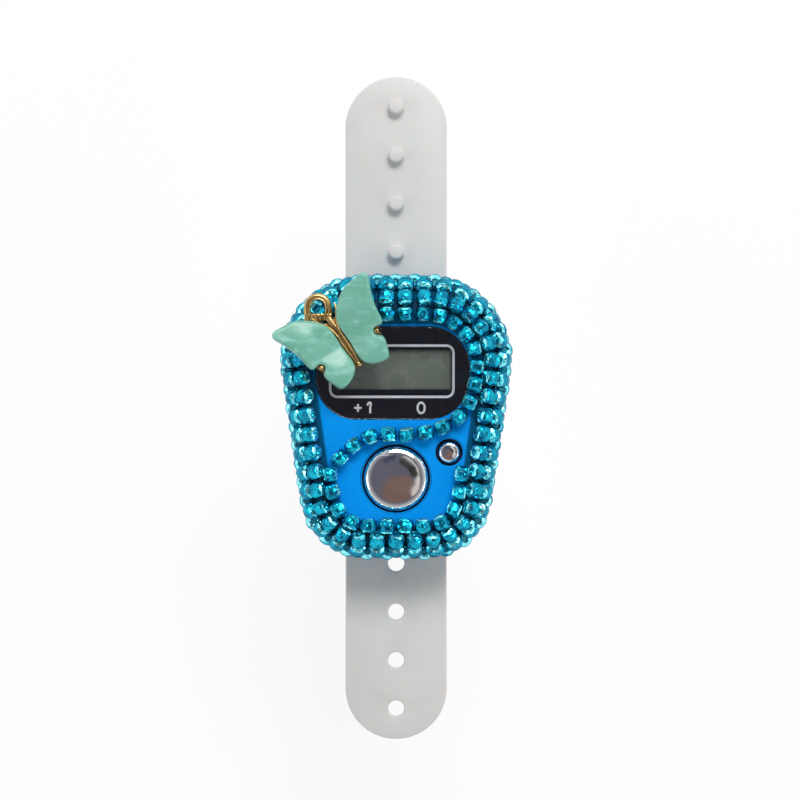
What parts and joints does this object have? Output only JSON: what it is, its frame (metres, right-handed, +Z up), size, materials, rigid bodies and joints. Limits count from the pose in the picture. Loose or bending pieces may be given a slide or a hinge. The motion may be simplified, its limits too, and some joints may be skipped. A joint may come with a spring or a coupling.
{
  "type": "digital tally counter",
  "caption": "Finger-worn digital tally counter with a display, a count button and a reset button, a seed-bead rim, a butterfly charm and a silicone strap.",
  "frame": {"origin": "middle of the flat strap's length and width, on the ground plane under the strap bridges", "axes": "+Y along the strap to the display end, +X to the right seen from the face, +Z up out of the face"},
  "size_m": [0.034, 0.0982, 0.0201],
  "materials": {
    "case_blue": "satin",
    "steel": "zinc plated",
    "lens_clear": "clear gloss",
    "mask_black": "printed black",
    "lcd_film": "satin film",
    "lcd_glass": "clear",
    "foam": "closed-cell foam",
    "zebra_rubber": "layered",
    "board_green": "solder mask",
    "glob_black": "epoxy",
    "chip_ceramic": "matt",
    "button_chrome": "bright plated",
    "dome_rubber": "translucent",
    "carbon": "matt",
    "cell_steel": "bright",
    "holder_plastic": "matt",
    "contact_metal": "nickel plated",
    "strap_silicone": "translucent satin",
    "charm_gold": "polished gold plated",
    "charm_resin": "pearlescent",
    "glue_clear": "clear",
    "bead_aqua": "silver-lined"
  },
  "bodies": {
    "case": {"front_shell": "case_blue", "rear_cover": "case_blue", "case_screws": "steel", "window_lens": "lens_clear", "window_mask": "mask_black", "lcd_front_polariser": "lcd_film", "lcd_front_glass": "lcd_glass", "lcd_rear_glass": "lcd_glass", "lcd_reflector": "lcd_film", "lcd_foam_pad": "foam", "zebra_strip": "zebra_rubber", "circuit_board": "board_green", "chip_glob": "glob_black", "chip_capacitors": "chip_ceramic", "board_screws": "steel", "count_dome": "dome_rubber", "reset_dome": "dome_rubber", "button_cell": "cell_steel", "cell_holder": "holder_plastic", "positive_contact": "contact_metal", "negative_contact": "contact_metal", "strap_middle": "strap_silicone", "charm_frame": "charm_gold", "charm_wing_left": "charm_resin", "charm_wing_right": "charm_resin", "charm_glue": "glue_clear", "bead_row_top": "bead_aqua", "bead_row_face": "bead_aqua", "bead_row_shoulder_upper": "bead_aqua", "bead_row_shoulder_lower": "bead_aqua", "bead_row_side_upper": "bead_aqua", "bead_row_side_middle": "bead_aqua", "bead_row_side_lower": "bead_aqua", "bead_row_divider": "bead_aqua"},
    "count_button": {"count_button": "button_chrome", "count_pill": "carbon"},
    "reset_button": {"reset_button": "button_chrome", "reset_pill": "carbon"},
    "strap_upper_tail": {"strap_upper_tail": "strap_silicone"},
    "strap_lower_tail": {"strap_lower_tail": "strap_silicone"},
    "battery_cap": {"battery_cap": "case_blue"}
  },
  "joints": [
    {"name": "count_press", "type": "slide", "parent": "case", "child": "count_button", "axis": [0, 0, -1], "range_m": [0, 0.0009], "stiffness_N_per_m": 800, "springref_m": -0.0004, "deforming": ["count_dome"]},
    {"name": "reset_press", "type": "slide", "parent": "case", "child": "reset_button", "axis": [0, 0, -1], "range_m": [0, 0.0007], "stiffness_N_per_m": 800, "springref_m": -0.0004, "deforming": ["reset_dome"]},
    {"name": "strap_upper_fold", "type": "hinge", "parent": "case", "child": "strap_upper_tail", "pos_m": [0, 0.01076, 0.00135], "axis": [-1, 0, 0], "range_deg": [0, 100], "stiffness_Nm_per_rad": 0.004},
    {"name": "strap_lower_fold", "type": "hinge", "parent": "case", "child": "strap_lower_tail", "pos_m": [0, -0.01324, 0.00135], "axis": [1, 0, 0], "range_deg": [0, 100], "stiffness_Nm_per_rad": 0.004},
    {"name": "battery_cap_turn", "type": "hinge", "parent": "case", "child": "battery_cap", "pos_m": [0, -0.00124, 0.0027], "axis": [0, 0, 1], "range_deg": [0, 45]}
  ]
}
